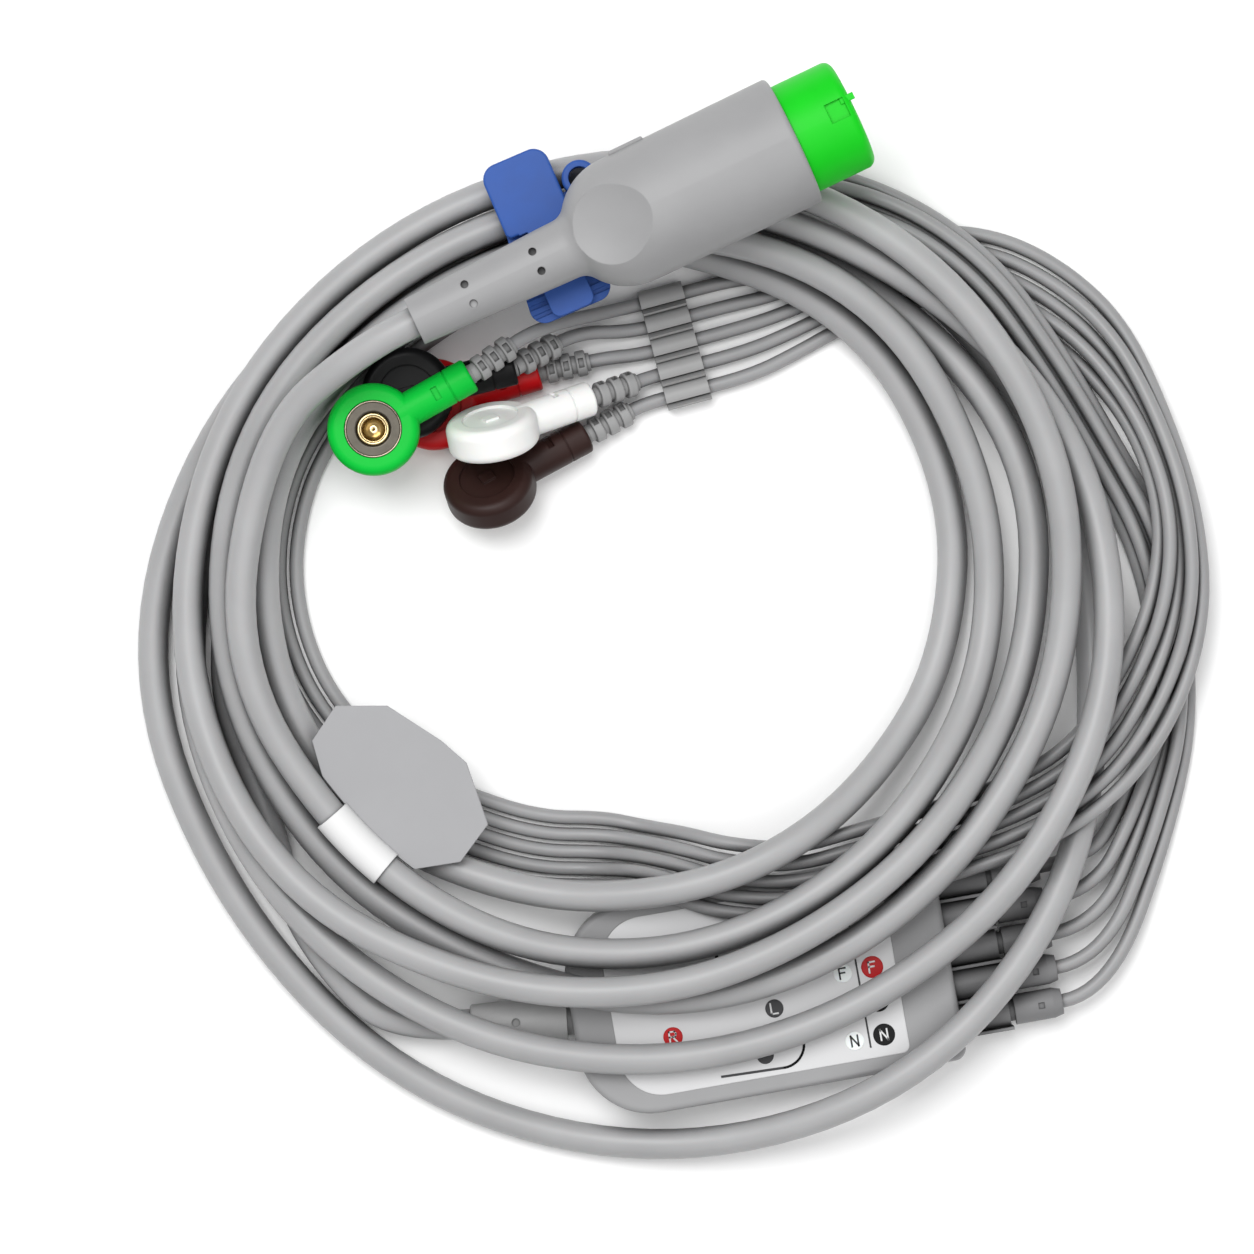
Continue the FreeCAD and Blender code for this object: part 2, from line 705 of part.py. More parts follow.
# Snaps: moulded body, metal collar and socket, ribbed boot
half_high = head_high / 2
for colour in colours:
    boot_frame_here, head_frame = snap_frames(colour)
    head = post(-half_high, half_high, head_r)
    head = head.makeFillet(head_round, head.Edges)
    stem = rod(0, stem_len, stem_r)
    stem = stem.makeFillet(0.5, edges_where(stem, lambda b: b.XMin > stem_len - 0.1))
    body = head.fuse(stem).removeSplitter()
    body = body.cut(post(half_high - pocket_deep, half_high + 1, collar_r))
    body = body.cut(rod(stem_len - spigot_len, stem_len + 1, spigot_r))
    dish = post(-half_high - 1, -half_high + 0.5, 4.6)
    oval = post(-half_high + 0.1, -half_high + 0.5, 1.0, 0, 0)
    oval = oval.fuse(block(-1.2, 1.2, -1.0, 1.0, -half_high + 0.1, -half_high + 0.5))
    body = body.cut(dish.cut(oval))
    for side_z in (stem_r, -stem_r):
        low = min(side_z, side_z * 0.78)
        slot = block(11.2, 12.2, -1.1, 1.1, low, low + 0.64)
        body = body.cut(slot)
    ring = turned([(14.0, stem_r - 0.15), (14.0, stem_r + 1), (14.25, stem_r + 1), (14.25, stem_r - 0.15)])
    body = body.cut(ring)
    collar = post(half_high - pocket_deep, half_high - 0.3, collar_r).cut(
        post(half_high - pocket_deep - 1, half_high, socket_r))
    collar = collar.makeFillet(0.4, edges_where(collar, flat_at(half_high - 0.3)))
    socket = post(half_high - pocket_deep, half_high - 0.5, socket_r).cut(
        post(half_high - pocket_deep + 0.6, half_high, stud_r))
    save("snap_body_" + colour, put(body, head_frame))
    save("snap_collar_" + colour, put(collar, head_frame))
    save("snap_socket_" + colour, put(socket, head_frame))
    ribs = rod(0, boot_ribbed_len, 1.5)
    for k in range(3):
        x = 1.3 + k * 2.5
        ring = rod(x, x + 1.7, boot_ribbed_r)
        ring = ring.makeFillet(0.3, ring.Edges[:1] + ring.Edges[2:])
        window = block(x + 0.4, x + 1.3, -0.8, 0.8, -3, 3)
        ribs = ribs.fuse(ring.cut(window.cut(rod(-1, 20, 1.5))))
    ribs = put(ribs, boot_frame_here)
    spigot = put(rod(stem_len - spigot_len, stem_len + 0.4, spigot_r - 0.3), head_frame)
    save("snap_boot_" + colour, ribs.fuse(spigot).removeSplitter())

# Comb: five round channels side by side on a flat underside, with slits between them
channel_r = lead_d / 2 + comb_fit
lane_r = channel_r + comb_wall
half_comb = comb_long / 2
comb = block(-half_comb, half_comb, -2 * comb_pitch, 2 * comb_pitch, 0.0, comb_wire_z)
for lane in range(-2, 3):
    comb = comb.fuse(rod(-half_comb, half_comb, lane_r, lane * comb_pitch, comb_wire_z))
comb = comb.cut(block(-comb_long, comb_long, -5 * comb_pitch, 5 * comb_pitch, -lane_r, 0.0))
for lane in range(-2, 3):
    comb = comb.cut(rod(-comb_long, comb_long, channel_r, lane * comb_pitch, comb_wire_z))
for k in range(4):
    y = (k - 1.5) * comb_pitch
    comb = comb.cut(block(-comb_long, comb_long, y - comb_slit / 2, y + comb_slit / 2,
                          comb_wire_z, comb_wire_z + lane_r))
save("lead_comb", put(comb.removeSplitter(), comb_frame))

# Cable clip: base with two ears and a loop, lever, pin and spring
clip_place = plug_frame.multVec(Vector(clip_along, clip_beside, -neck_r_root - clip_under))
clip_frame = frame_at(clip_place, clip_turn)
base_top = clip_floor + clip_base_thick
base = plate([(-clip_jaw, -clip_jaw_half, 2.5), (5.4, -5.2, 0.8), (5.4, 5.2, 0.8),
              (-clip_jaw, clip_jaw_half, 2.5)], clip_floor, base_top)
for ear_side in (-1, 1):
    ear_y = clip_ear_y if ear_side > 0 else -clip_ear_y - clip_ear_thick
    ear = Part.makeCylinder(clip_ear_r, clip_ear_thick, Vector(0, ear_y, 0), Vector(0, 1, 0))
    ear = ear.fuse(block(-clip_ear_r, clip_ear_r, ear_y, ear_y + clip_ear_thick, base_top - 0.2, 0))
    base = base.fuse(ear)
loop_x = 6.4
loop_y = -9.0
loop = post(clip_floor, 1.2, 2.9, loop_x, loop_y)
loop = loop.makeFillet(0.5, edges_where(loop, flat_at(1.2)))
base = base.fuse(loop).fuse(block(2.5, 5.4, -8.6, -5.0, clip_floor, base_top))
base = base.cut(post(clip_floor - 1, 3, 1.8, loop_x, loop_y))
for k in range(3):
    x = -clip_jaw + 1.2 + k * 1.6
    base = base.cut(block(x, x + 0.7, -clip_jaw_half, clip_jaw_half, base_top - 0.35, base_top + 1))
pin_reach = clip_ear_y + clip_ear_thick
hinge = Part.makeCylinder(clip_pin_r, 2 * pin_reach, Vector(0, -pin_reach, 0), Vector(0, 1, 0))
base = base.cut(hinge).removeSplitter()
save("clip_base", put(base, clip_frame))
save("clip_pin", put(hinge, clip_frame))

lever_top = clip_lever_low + clip_lever_thick
tab = plate([(1.7, -clip_half, 1.0), (clip_tab, -clip_half, 2.6), (clip_tab, clip_half, 2.6),
             (1.7, clip_half, 1.0)], clip_lever_low, lever_top)
tab = tab.makeFillet(0.4, edges_where(tab, flat_at(lever_top)))
arm = plate([(-clip_jaw, -clip_waist, 1.5), (5.5, -clip_waist, 0.3), (5.5, clip_waist, 0.3),
             (-clip_jaw, clip_waist, 1.5)], clip_lever_low, lever_top)
lip = block(-clip_jaw + 0.6, -clip_jaw + 2.2, -clip_waist + 0.8, clip_waist - 0.8,
            base_top + clip_fit, lever_top - 0.3)
knuckle_half = 2.2
knuckle = Part.makeCylinder(clip_knuckle_r, 2 * knuckle_half, Vector(0, -knuckle_half, 0), Vector(0, 1, 0))
knuckle_web = block(-0.6, 0.6, -knuckle_half, knuckle_half, 0, lever_top - 0.3)
lever = arm.fuse(tab).fuse(lip)
for spring_side in (-1, 1):
    y = knuckle_half if spring_side > 0 else -clip_ear_y - 1
    lever = lever.cut(block(-1.6, 1.6, y, y + clip_ear_y + 1 - knuckle_half, -2, 3))
lever = lever.fuse(knuckle).fuse(knuckle_web)
lever = lever.cut(Part.makeCylinder(clip_pin_r + 0.05, 20, Vector(0, -10, 0), Vector(0, 1, 0)))
save("clip_lever", put(lever.removeSplitter(), clip_frame))


def spring_points(y0, y1):
    """Control points of one spring: a leg up from the base, turns round the pin, a leg to the tab."""
    points = [Vector(-spring_r, y0, base_top), Vector(-spring_r, y0, base_top / 2)]
    steps = 8 * spring_turns + 1
    corner_r = spring_r / math.cos(math.radians(22.5))
    for k in range(steps + 1):
        a = math.radians(157.5 - k * 45)
        y = y0 + (y1 - y0) * k / steps
        points.append(Vector(corner_r * math.cos(a), y, corner_r * math.sin(a)))
    points.append(Vector(spring_leg / 3, y1, spring_r))
    points.append(Vector(spring_leg, y1, spring_r))
    return points


springs = []
for spring_side in (-1, 1):
    outer_y = spring_side * (clip_ear_y - spring_wire)
    inner_y = spring_side * (knuckle_half + spring_wire)
    wound = cord(spring_points(outer_y, inner_y), spring_wire)[0]
    springs.append(wound)
save("clip_spring", put(Part.makeCompound(springs), clip_frame))

# Tag: a white wrap round the run from the plug and a flat nine-sided flag beside it
pieces, tightest = cord_path(plug_run_points)
head_edge, tail_edge = pieces[2 * tag_turn_index + 1:2 * tag_turn_index + 3]
first, last = head_edge.ParameterRange
wrap_start = head_edge.Curve.toShape(last - (last - first) * wrap_before / head_edge.Length, last)
first, last = tail_edge.ParameterRange
wrap_end = tail_edge.Curve.toShape(first, first + (last - first) * wrap_after / tail_edge.Length)
wrap_wire = Part.Wire([wrap_start, wrap_end])


def sleeve(radius):
    start = wrap_start.valueAt(wrap_start.ParameterRange[0])
    ahead = wrap_start.tangentAt(wrap_start.ParameterRange[0])
    shell = Part.BRepOffsetAPI.MakePipeShell(wrap_wire)
    shell.add(Part.Wire(Part.Circle(start, ahead, radius).toShape()))
    shell.build()
    shell.makeSolid()
    return shell.shape()


wrap_outer = sleeve(trunk_d / 2 + wrap_wall)
save("tag_wrap", wrap_outer.cut(sleeve(trunk_d / 2)))
flag = plate([(-52.8, -7.4, 0), (-44.4, -7.4, 0), (-35.6, -13.1, 0), (-31.5, -16.7, 0),
              (-28.0, -26.7, 0), (-32.5, -32.8, 0), (-43.3, -34.5, 0), (-53.3, -24.5, 0),
              (-56.6, -13.1, 0)][::-1], tag_z, tag_z + tag_thick)
run_clear = cord(plug_run_points, trunk_d + 2 * tag_fit)[0]
save("cable_tag", flag.cut(run_clear).cut(wrap_outer))
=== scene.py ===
import math

import bpy
from mathutils import Matrix, Vector


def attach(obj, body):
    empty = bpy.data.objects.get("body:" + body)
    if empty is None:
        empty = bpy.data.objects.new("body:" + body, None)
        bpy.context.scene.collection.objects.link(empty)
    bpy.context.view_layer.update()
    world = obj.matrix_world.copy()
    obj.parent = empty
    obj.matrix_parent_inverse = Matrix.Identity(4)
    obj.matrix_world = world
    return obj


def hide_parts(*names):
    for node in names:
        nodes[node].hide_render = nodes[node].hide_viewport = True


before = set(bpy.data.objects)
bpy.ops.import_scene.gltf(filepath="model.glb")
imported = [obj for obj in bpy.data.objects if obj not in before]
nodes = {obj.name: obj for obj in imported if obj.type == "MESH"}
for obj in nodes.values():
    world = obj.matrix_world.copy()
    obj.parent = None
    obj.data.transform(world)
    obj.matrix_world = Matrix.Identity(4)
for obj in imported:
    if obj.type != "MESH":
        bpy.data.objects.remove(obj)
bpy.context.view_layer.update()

# Patient cable set on a pale floor, seen from straight above.
# Sizes are written in millimetres and turned into metres by MM.
MM = 0.001
scene = bpy.context.scene
colours = ["brown", "white", "red", "black", "green"]
middle_lane = len(colours) // 2


def point(x, y, z):
    return Vector((x, y, z)) * MM


def polar(angle, radius, z):
    a = math.radians(angle)
    return point(radius * math.cos(a), radius * math.sin(a), z)


def frame_at(place, turn, pitch=0.0, roll=0.0):
    """Local frame: turned about Z, then pitched up about its Y, then rolled about its X."""
    spin = Matrix.Rotation(math.radians(turn), 4, "Z")
    spin = spin @ Matrix.Rotation(math.radians(-pitch), 4, "Y")
    spin = spin @ Matrix.Rotation(math.radians(roll), 4, "X")
    return Matrix.Translation(place) @ spin


# Camera: straight down, with the width of the frame given at the height of the coil
view_wide = 205.6
view_far = 1000.0
view_height = 5.0
view_x = -5.4
view_y = 5.4
sensor_wide = 36.0
camera_data = bpy.data.cameras.new("camera")
camera_data.sensor_width = sensor_wide
camera_data.lens = sensor_wide * view_far / view_wide
camera = bpy.data.objects.new("camera", camera_data)
camera.location = point(view_x, view_y, view_far + view_height)
scene.collection.objects.link(camera)
scene.camera = camera

# Places of the plug's neck, the yoke, the yoke's boot and the comb
plug_frame = frame_at(point(-39.4, 54.2, 29.8), 25.6)
yoke_frame = frame_at(point(16.4, -53.3, 0.0), 10.0)
yoke_len = 62.6
axis_z = 4.75
boot_len = 16.6
boot_frame = frame_at(yoke_frame @ point(-yoke_len / 2, 0, axis_z), 183.4)
comb_frame = frame_at(point(2.4, 51.7, 0.0), 15.0)

# Trunk cable: first direction of each turn, then its radius and its height at each step round the coil
trunk_d = 5.0
neck_run = 9.0
boot_run = 12.8
turn_step = 30.0
curve_share = math.cos(math.radians(turn_step / 2))
trunk_turns = [
    (150, [71.5, 68.0, 57.5, 51.5, 47.0, 45.0, 46.5, 52.5, 59.5, 67.9, 69.4],
          [18.5, 15.8, 12.8, 14.2, 14.2, 16.0, 16.0, 6.2, 6.5, 12.0, 16.3]),
    (120, [69.5, 70.6, 63.5, 54.0, 43.0, 37.0, 36.0, 38.5, 45.5, 54.5, 63.5, 67.0],
          [16.3, 11.6, 8.2, 8.2, 9.5, 15.4, 17.0, 10.0, 3.5, 3.2, 5.6, 5.2]),
    (120, [78.0, 81.5, 84.0, 79.2, 79.5, 79.5, 78.5, 75.5, 70.0, 72.5, 75.3, 76.4],
          [5.4, 3.2, 2.8, 2.8, 2.8, 2.8, 14.6, 10.1, 2.0, 3.3, 5.8, 10.7]),
    (120, [75.6, 76.0, 77.7, 73.0, 68.0, 64.5, 64.0, 67.5, 73.0, 76.0, 73.5, 75.0],
          [11.2, 5.4, 2.8, 9.2, 11.6, 12.6, 12.6, 17.0, 13.4, 8.6, 11.4, 16.3]),
    (120, [75.2, 76.0, 70.5, 63.0, 56.0, 55.0, 55.0, 57.5, 64.8, 72.5, 78.0, 80.7],
          [16.4, 12.6, 10.8, 8.0, 11.2, 13.6, 14.4, 15.8, 11.7, 15.0, 16.2, 16.3]),
    (120, [80.6, 80.5, 77.0, 70.5, 59.0, 52.5, 49.5, 51.8, 59.2, 68.0, 69.5, 71.0],
          [13.4, 9.2, 9.6, 13.8, 16.2, 19.8, 19.4, 17.4, 7.5, 7.8, 5.4, 10.9]),
    (120, [69.9, 70.3, 71.0], [10.7, 5.2, 5.3]),
]
to_boot = [(-65.2, -23.2, 3.6), (-60.5, -40.5, 3.4), (-53.2, -51.6, axis_z)]
trunk_points = [plug_frame @ point(0, 0, 0), plug_frame @ point(-neck_run, 0, 0)]
for first, radii, heights in trunk_turns:
    for k, (radius, height) in enumerate(zip(radii, heights)):
        trunk_points.append(polar(first + k * turn_step, radius / curve_share, height))
trunk_points += [point(*place) for place in to_boot]
for x in (boot_len + boot_run, boot_len):
    trunk_points.append(boot_frame @ point(x, 0, 0))

# Lead bundle: direction, radius, height, pitch between leads and rise from lead to lead at each place
lead_d = 2.3
lead_gap = 0.5
side = lead_d + lead_gap
bundle = [
    (341, 84.0, 1.3, 2.2, 0.0),
    (355, 85.5, 1.2, 1.4, 0.0),
    (12, 84.0, 1.2, 1.4, 0.0),
    (28, 80.0, 2.0, 1.4, 0.0),
    (38, 80.2, 4.1, 1.4, 0.0),
    (50, 82.8, 4.3, 1.4, 0.0),
    (62, 83.2, 4.4, 1.4, 0.0),
    (74, 80.5, 1.8, 2.2, 0.0),
    (86, 76.0, 1.2, side, 0.0),
    (100, 72.5, 1.2, side, 0.0),
    (116, 71.0, 1.2, side, 0.0),
    (132, 71.0, 1.2, side, 0.0),
    (148, 71.2, 1.2, side, 0.0),
    (162, 69.0, 1.2, side, 0.0),
    (175, 65.2, 1.2, side, 0.0),
    (189, 59.5, 1.2, side, 0.0),
    (204, 51.5, 1.2, side, 0.0),
    (220, 43.0, 1.2, side, 0.0),
    (237, 37.5, 1.2, side, 0.0),
    (253, 33.0, 1.2, side, 0.0),
    (264, 32.3, 5.4, 2.4, 2.0),
    (275, 33.5, 9.5, 2.6, 1.0),
    (286, 37.0, 11.1, side, 0.0),
    (301, 42.5, 11.0, side, 0.0),
    (315, 47.0, 10.95, side, 0.0),
    (327, 54.5, 10.75, side, 0.2),
    (337, 64.5, 10.3, side, 1.0),
    (346, 73.5, 10.5, side, 0.0),
    (356, 80.0, 7.8, side, 0.0),
    (6, 85.5, 6.9, 2.2, 0.0),
    (16, 88.5, 6.5, 1.4, 0.0),
    (26, 89.5, 3.4, 1.4, 0.0),
    (36, 89.5, 1.2, 2.4, 0.0),
    (44, 87.0, 1.2, side, 0.0),
    (51, 83.5, 1.2, side, 0.0),
    (58, 76.5, 1.2, side, 0.0),
    (65, 66.5, 1.2, 2.9, 0.0),
    (71.4, 59.6, 1.3, 3.5, 0.0),
]
bundle_middle = [polar(angle, radius, height) for angle, radius, height, pitch, lean in bundle]
plug_pitch = 5.6
plug_run = 8.0
lead_plug_len = 17.0
comb_pitch = 4.0
comb_wire_z = 1.9
comb_before = 11.0
comb_within = 1.0
comb_after = {"red": -6.0, "black": -6.5, "green": -6.5}
end_runs = {"brown": 2.4, "white": 3.0, "red": 3.0, "black": 4.0, "green": 5.0}


def straight_pose(colour, back, turn, pitch, roll):
    """Pose of a snap whose lead runs straight to its lane, so far back from the comb's middle."""
    lane = colours.index(colour) - middle_lane
    corner = comb_frame @ point(-back, lane * comb_pitch, comb_wire_z)
    end = frame_at(corner, turn, pitch) @ point(-end_runs[colour], 0, 0)
    return (end, turn, pitch, turn, pitch, roll)


# Snaps: end of the ribbed boot, turn and pitch of the boot, turn, pitch and roll of the stem
snap_poses = {
    "brown": straight_pose("brown", 7.4, 28.5, -9.5, 141.0),
    "white": straight_pose("white", 4.8, 20.0, -20.5, 115.0),
    "red": (point(-11.5, 49.0, 3.0), 12.0, 0.0, 17.0, 0.0, 180.0),
    "black": (point(-16.7, 51.9, 6.2), 30.0, -20.0, 14.0, 0.0, 180.0),
    "green": (point(-24.0, 51.3, 13.8), 36.0, -10.0, 29.6, 0.0, 0.0),
}


def bundle_point(k, lane):
    """Control point of one lead at one place of the bundle; positive lanes lie outside."""
    angle, radius, height, pitch, lean = bundle[k]
    ahead = bundle_middle[min(k + 1, len(bundle) - 1)] - bundle_middle[max(k - 1, 0)]
    outward = Vector((ahead.y, -ahead.x, 0)).normalized()
    lift = math.sqrt(max(side ** 2 - pitch ** 2 - lean ** 2, 0))
    raised = lift if lane % 2 else 0.0
    return bundle_middle[k] + outward * (lane * pitch * MM) + point(0, 0, lane * lean + raised)


def lead_points(lane, colour):
    """Control points of one lead from its plug past the comb to its snap."""
    start = yoke_len / 2 + lead_plug_len
    points = []
    for x in (start, start + plug_run):
        points.append(yoke_frame @ point(x, -lane * plug_pitch, axis_z))
    for k in range(len(bundle)):
        points.append(bundle_point(k, lane))
    stations = [comb_before, comb_within]
    if colour in comb_after:
        stations.append(comb_after[colour])
    for x in stations:
        points.append(comb_frame @ point(x, lane * comb_pitch, comb_wire_z))
    end, boot_turn, boot_pitch, turn, pitch, roll = snap_poses[colour]
    points.append(frame_at(end, boot_turn, boot_pitch) @ point(end_runs[colour], 0, 0))
    points.append(end)
    return points


# Steps round a cord's section and between two points of its route
round_steps = 7
route_steps = 10


def cord(name, points, diameter):
    """Smooth round cord whose control points are the route's points."""
    data = bpy.data.curves.new(name, "CURVE")
    data.dimensions = "3D"
    data.bevel_depth = diameter / 2 * MM
    data.bevel_resolution = round_steps
    data.resolution_u = route_steps
    data.use_fill_caps = True
    spline = data.splines.new("NURBS")
    spline.points.add(len(points) - 1)
    for control, p in zip(spline.points, points):
        control.co = (p.x, p.y, p.z, 1.0)
    spline.order_u = 3
    spline.use_endpoint_u = True
    spline.use_smooth = True
    piece = bpy.data.objects.new(name, data)
    scene.collection.objects.link(piece)
    return piece


# Materials: what the tone, gloss, grain, painted crevice shade and edges of all finishes share
tone_low = 0.3
tone_high = 0.7
blotch_detail = 4.0
gloss_swing = 0.07
least_rough = 0.03
grain_detail = 2.0
grain_deep = 0.05
# Painted shade in crevices: how far it looks for nearby surfaces, the occlusion where it is fullest and where
# it ends, and its samples
painted_shade_reach = 6.0
painted_shade_full = 0.25
painted_shade_none = 0.85
painted_shade_samples = 6
edge_samples = 4
skin_deep = 1.0


def srgb(r, g, b):
    """Linear colour from the 0 to 255 values seen on a screen."""
    linear = []
    for v in (r, g, b):
        v = v / 255
        linear.append(v / 12.92 if v <= 0.04045 else ((v + 0.055) / 1.055) ** 2.4)
    return (*linear, 1.0)


def shade(colour, share):
    """The same colour, lighter above 1 and darker below."""
    return (*[min(c * share, 1.0) for c in colour[:3]], 1.0)


def finish_material(name, colour, rough=0.45, vary=0.05, blotch=9.0, grain=0.04, grain_size=0.25,
                    edge=0.25, metallic=0.0, spec=0.28, subsurface=0.0, painted_crevice_shade=0.0):
    """Moulded or metal surface: blotches of tone and gloss, grain, rounded edges, and painted shade that
    darkens the colour in crevices.
    """
    mat = bpy.data.materials.new(name)
    mat.use_nodes = True
    tree = mat.node_tree
    made = tree.nodes
    link = tree.links.new
    shader = made["Principled BSDF"]
    shader.inputs["Metallic"].default_value = metallic
    shader.inputs["Specular IOR Level"].default_value = spec
    shader.inputs["Subsurface Weight"].default_value = subsurface
    shader.inputs["Subsurface Scale"].default_value = skin_deep * MM
    place = made.new("ShaderNodeTexCoord")
    soft = made.new("ShaderNodeTexNoise")
    soft.inputs["Scale"].default_value = 1 / (blotch * MM)
    soft.inputs["Detail"].default_value = blotch_detail
    link(place.outputs["Object"], soft.inputs["Vector"])
    tone = made.new("ShaderNodeValToRGB")
    tone.color_ramp.elements[0].position = tone_low
    tone.color_ramp.elements[0].color = shade(colour, 1 - vary)
    tone.color_ramp.elements[1].position = tone_high
    tone.color_ramp.elements[1].color = shade(colour, 1 + vary)
    link(soft.outputs["Fac"], tone.inputs["Fac"])
    # Painted shade: the colour is darkened where ambient occlusion finds surfaces close by, in gaps between
    # strands and in crevices where shade would fall
    if painted_crevice_shade > 0:
        shade_probe = made.new("ShaderNodeAmbientOcclusion")
        shade_probe.samples = painted_shade_samples
        shade_probe.inputs["Distance"].default_value = painted_shade_reach * MM
        painted_shade_share = made.new("ShaderNodeMapRange")
        painted_shade_share.inputs["From Min"].default_value = painted_shade_full
        painted_shade_share.inputs["From Max"].default_value = painted_shade_none
        painted_shade_share.inputs["To Min"].default_value = 1 - painted_crevice_shade
        painted_shade_share.inputs["To Max"].default_value = 1.0
        link(shade_probe.outputs["AO"], painted_shade_share.inputs["Value"])
        paint_shade = made.new("ShaderNodeVectorMath")
        paint_shade.operation = "SCALE"
        link(tone.outputs["Color"], paint_shade.inputs["Vector"])
        link(painted_shade_share.outputs["Result"], paint_shade.inputs["Scale"])
        link(paint_shade.outputs["Vector"], shader.inputs["Base Color"])
    else:
        link(tone.outputs["Color"], shader.inputs["Base Color"])
    gloss = made.new("ShaderNodeMapRange")
    gloss.inputs["To Min"].default_value = max(rough - gloss_swing, least_rough)
    gloss.inputs["To Max"].default_value = min(rough + gloss_swing, 1.0)
    link(soft.outputs["Fac"], gloss.inputs["Value"])
    link(gloss.outputs["Result"], shader.inputs["Roughness"])
    fine = made.new("ShaderNodeTexNoise")
    fine.inputs["Scale"].default_value = 1 / (grain_size * MM)
    fine.inputs["Detail"].default_value = grain_detail
    link(place.outputs["Object"], fine.inputs["Vector"])
    bump = made.new("ShaderNodeBump")
    bump.inputs["Strength"].default_value = grain
    bump.inputs["Distance"].default_value = grain_deep * MM
    link(fine.outputs["Fac"], bump.inputs["Height"])
    if edge > 0:
        rounded = made.new("ShaderNodeBevel")
        rounded.samples = edge_samples
        rounded.inputs["Radius"].default_value = edge * MM
        link(rounded.outputs["Normal"], bump.inputs["Normal"])
    link(bump.outputs["Normal"], shader.inputs["Normal"])
    return mat


# The crevice strengths given below set how much painted shade darkens the colour in the gaps and crevices of
# cords, shells, comb, boots and dark parts
cord_finish = dict(rough=0.4, vary=0.05, blotch=14.0, grain=0.08, grain_size=0.5, edge=0.0, spec=0.4,
                   subsurface=0.04, painted_crevice_shade=0.8)
shell_finish = dict(rough=0.46, vary=0.03, grain=0.1)
boot_finish = dict(rough=0.5, vary=0.04, grain=0.08, painted_crevice_shade=0.5)
metal_finish = dict(blotch=1.5, metallic=1.0)
jacket = finish_material("jacket_grey", srgb(159, 159, 160), **cord_finish)
lead_grey = finish_material("lead_grey", srgb(146, 146, 147), **cord_finish)
moulded = finish_material("moulded_grey", srgb(149, 149, 150), painted_crevice_shade=0.6, **shell_finish)
yoke_grey = finish_material("yoke_grey", srgb(149, 149, 150), painted_crevice_shade=0.3, **shell_finish)
comb_grey = finish_material("comb_grey", srgb(152, 152, 152), rough=0.4, vary=0.04, grain=0.08, edge=0.12,
                            painted_crevice_shade=0.35)
boot_grey = finish_material("boot_grey", srgb(176, 176, 176), **boot_finish)
rib_grey = finish_material("rib_grey", srgb(150, 150, 150), **boot_finish)
dark_grey = finish_material("dark_grey", srgb(120, 120, 121), rough=0.5, vary=0.05, grain=0.1, painted_crevice_shade=0.6)
label_film = finish_material("label_film", srgb(204, 204, 205), rough=0.35, vary=0.01, grain=0.02)
plug_green = finish_material("plug_green", srgb(14, 194, 26), rough=0.45, vary=0.04, grain=0.05, spec=0.2)
insert_dark = finish_material("insert_dark", srgb(62, 62, 64), rough=0.6, vary=0.05, grain=0.1)
gold = finish_material("gold_contact", srgb(200, 180, 136), rough=0.2, vary=0.08, blotch=2.0, grain=0.01,
                       edge=0.06, metallic=1.0)
steel = finish_material("snap_steel", srgb(70, 67, 61), rough=0.34, vary=0.12, edge=0.1, **metal_finish)
rim_metal = finish_material("rim_metal", srgb(128, 120, 106), rough=0.16, vary=0.1, edge=0.05, **metal_finish)
pale_steel = finish_material("clip_steel", srgb(190, 190, 192), rough=0.3, vary=0.05, **metal_finish)
clip_blue = finish_material("clip_blue", srgb(44, 82, 156), rough=0.45, vary=0.07, blotch=5.0, grain=0.04,
                            spec=0.2)
board_green = finish_material("board_green", srgb(40, 110, 60), rough=0.4, vary=0.08)
resistor_tan = finish_material("resistor_tan", srgb(196, 168, 130), rough=0.5, vary=0.06)
tag_grey = finish_material("tag_grey", srgb(154, 154, 156), rough=0.5, vary=0.02, grain=0.03)
tag_white = finish_material("tag_white", srgb(222, 222, 222), rough=0.45, vary=0.02, grain=0.04)
snap_looks = {
    "brown": finish_material("snap_brown", srgb(46, 28, 25), rough=0.45, spec=0.2, vary=0.1, grain=0.06),
    "white": finish_material("snap_white", srgb(236, 236, 234), rough=0.42, vary=0.01, grain=0.05,
                             subsurface=0.1),
    "red": finish_material("snap_red", srgb(178, 12, 18), rough=0.42, spec=0.2, vary=0.06, grain=0.05),
    "black": finish_material("snap_black", srgb(17, 17, 18), rough=0.4, spec=0.12, vary=0.12, grain=0.06),
    "green": finish_material("snap_green", srgb(4, 184, 56), rough=0.45, spec=0.13, vary=0.04, grain=0.05),
}

# Finish of each node
looks = {
    "plug_overmould": moulded,
    "plug_shell": plug_green,
    "pin_insert": insert_dark,
    "contact_pins": gold,
    "yoke_lower_shell": yoke_grey,
    "yoke_upper_shell": yoke_grey,
    "yoke_label": label_film,
    "yoke_boot": boot_grey,
    "socket_block": dark_grey,
    "yoke_sockets": gold,
    "lead_pins": gold,
    "yoke_board": board_green,
    "board_posts": yoke_grey,
    "yoke_resistors": resistor_tan,
    "lead_comb": comb_grey,
    "clip_base": clip_blue,
    "clip_lever": clip_blue,
    "clip_pin": pale_steel,
    "clip_spring": pale_steel,
    "tag_wrap": tag_white,
    "cable_tag": tag_grey,
    "trunk_cable": jacket,
    "trunk_plug_run": jacket,
    "trunk_yoke_run": jacket,
}
for colour in colours:
    looks["lead_wire_" + colour] = lead_grey
    looks["lead_plug_" + colour] = dark_grey
    looks["snap_body_" + colour] = snap_looks[colour]
    looks["snap_collar_" + colour] = steel
    looks["snap_socket_" + colour] = gold
    looks["snap_boot_" + colour] = rib_grey


